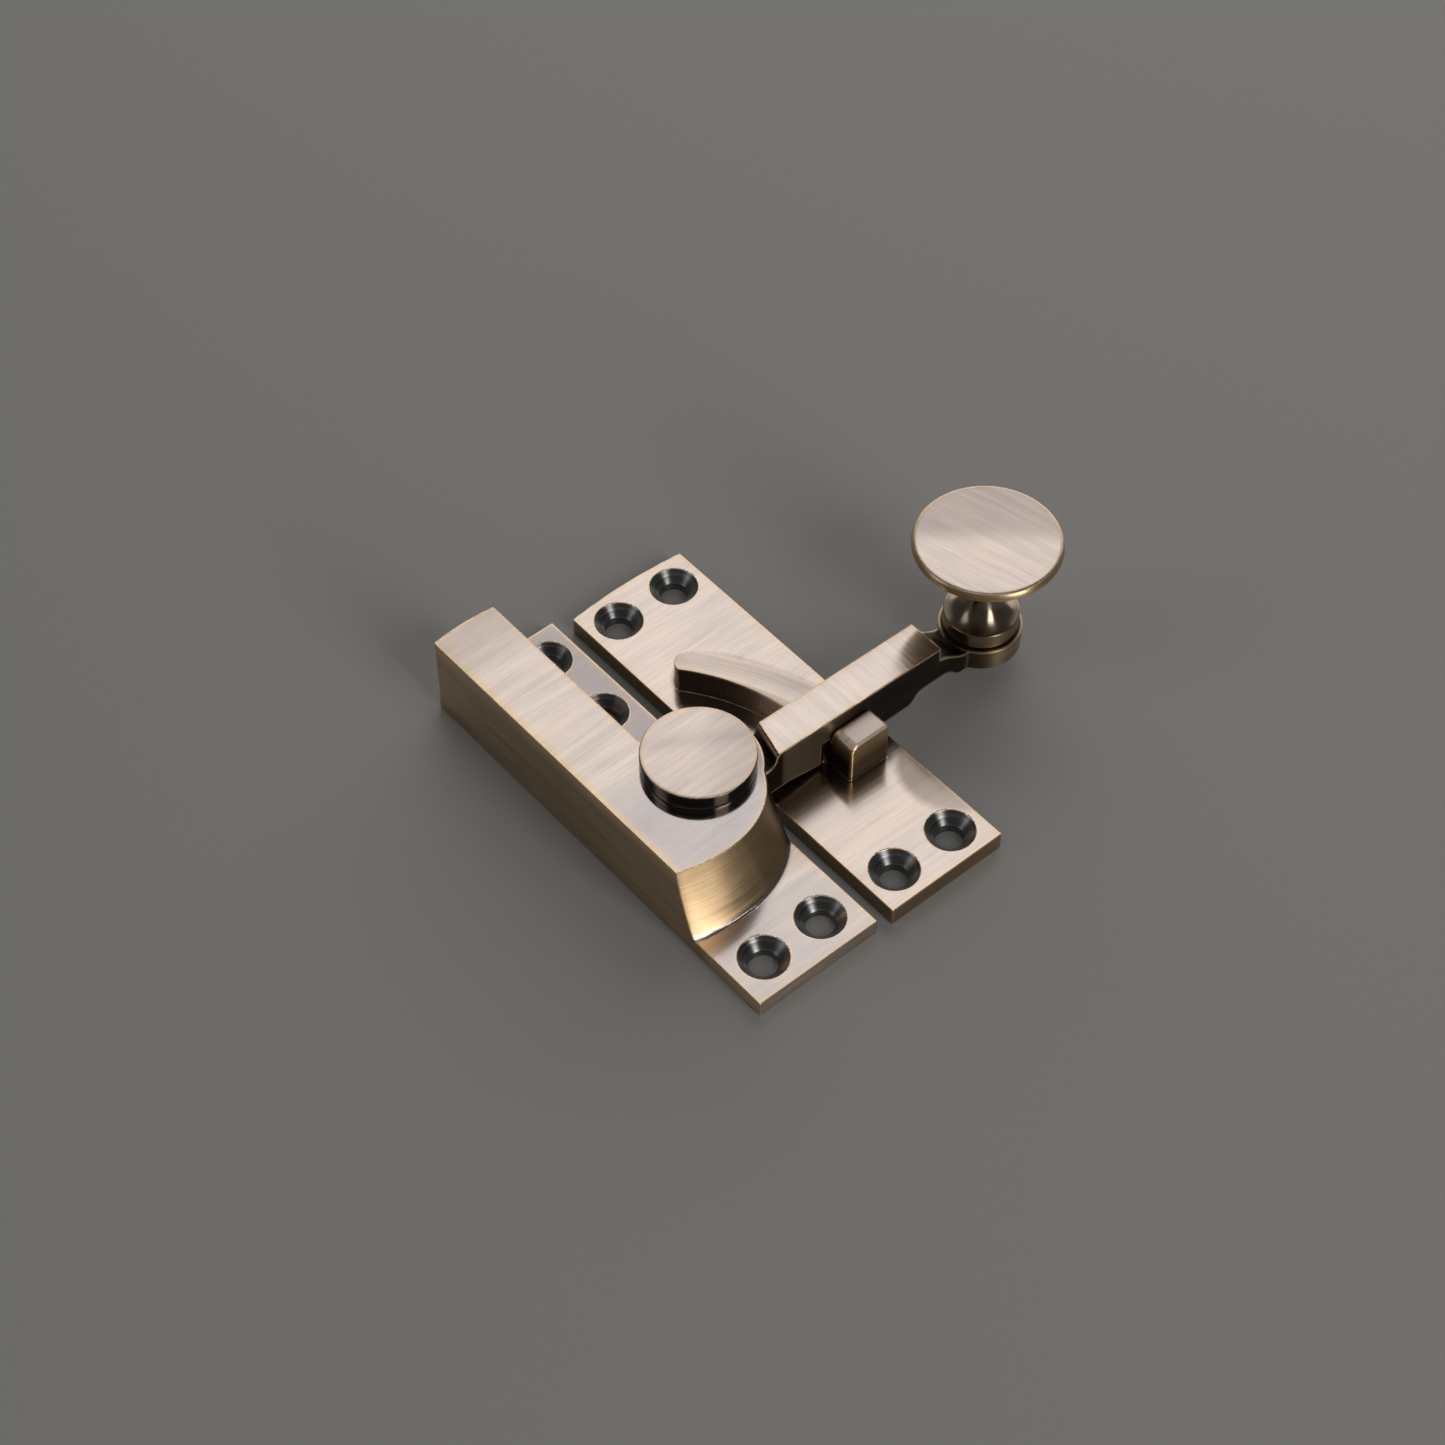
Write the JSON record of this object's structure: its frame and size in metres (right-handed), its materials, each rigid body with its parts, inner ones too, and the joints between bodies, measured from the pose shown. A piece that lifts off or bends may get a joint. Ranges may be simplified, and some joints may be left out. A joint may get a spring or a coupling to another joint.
{
  "type": "quadrant sash window fastener",
  "caption": "Sash window fastener with a swinging lever, round knob and sprung pivot that locks over a curved ridge on a separate keep plate.",
  "frame": {"origin": "pivot axis of the lever, at the mounting plane under the body casting", "axes": "+X from the lever's pivot towards its knob in the locked pose, +Y along the two plates towards the spring housing's far end, +Z out of the mounting plane"},
  "size_m": [0.0771, 0.0712, 0.0246],
  "materials": {
    "body_brass": "brushed and lacquered antique brass, darkened in the recesses",
    "keep_brass": "brushed and lacquered antique brass, darkened in the recesses",
    "lever_brass": "brushed antique brass, bronzed on the sides",
    "knob_brass": "brushed and lacquered antique brass, bright at the edges",
    "pivot_brass": "brushed cap with a dark polished rim",
    "washer_steel": "plain turned",
    "pin_steel": "plain turned",
    "spring_steel": "blued spring steel, lightly oiled"
  },
  "bodies": {
    "mounted_plates": {"body_casting": "body_brass", "keep_casting": "keep_brass", "pivot_pin": "pivot_brass", "pivot_washer": "washer_steel", "upper_thrust_washer": "washer_steel", "lower_thrust_washer": "washer_steel", "leaf_spring": "spring_steel", "spring_fulcrum_pin": "pin_steel", "spring_anchor_pin": "pin_steel"},
    "lever": {"lever_arm": "lever_brass", "knob": "knob_brass", "knob_washer": "knob_brass"}
  },
  "joints": [
    {"name": "lever_swing", "type": "hinge", "parent": "mounted_plates", "child": "lever", "pos_m": [0, 0, 0], "axis": [0, 0, 1], "range_deg": [0, 90], "deforming": ["leaf_spring"]}
  ]
}
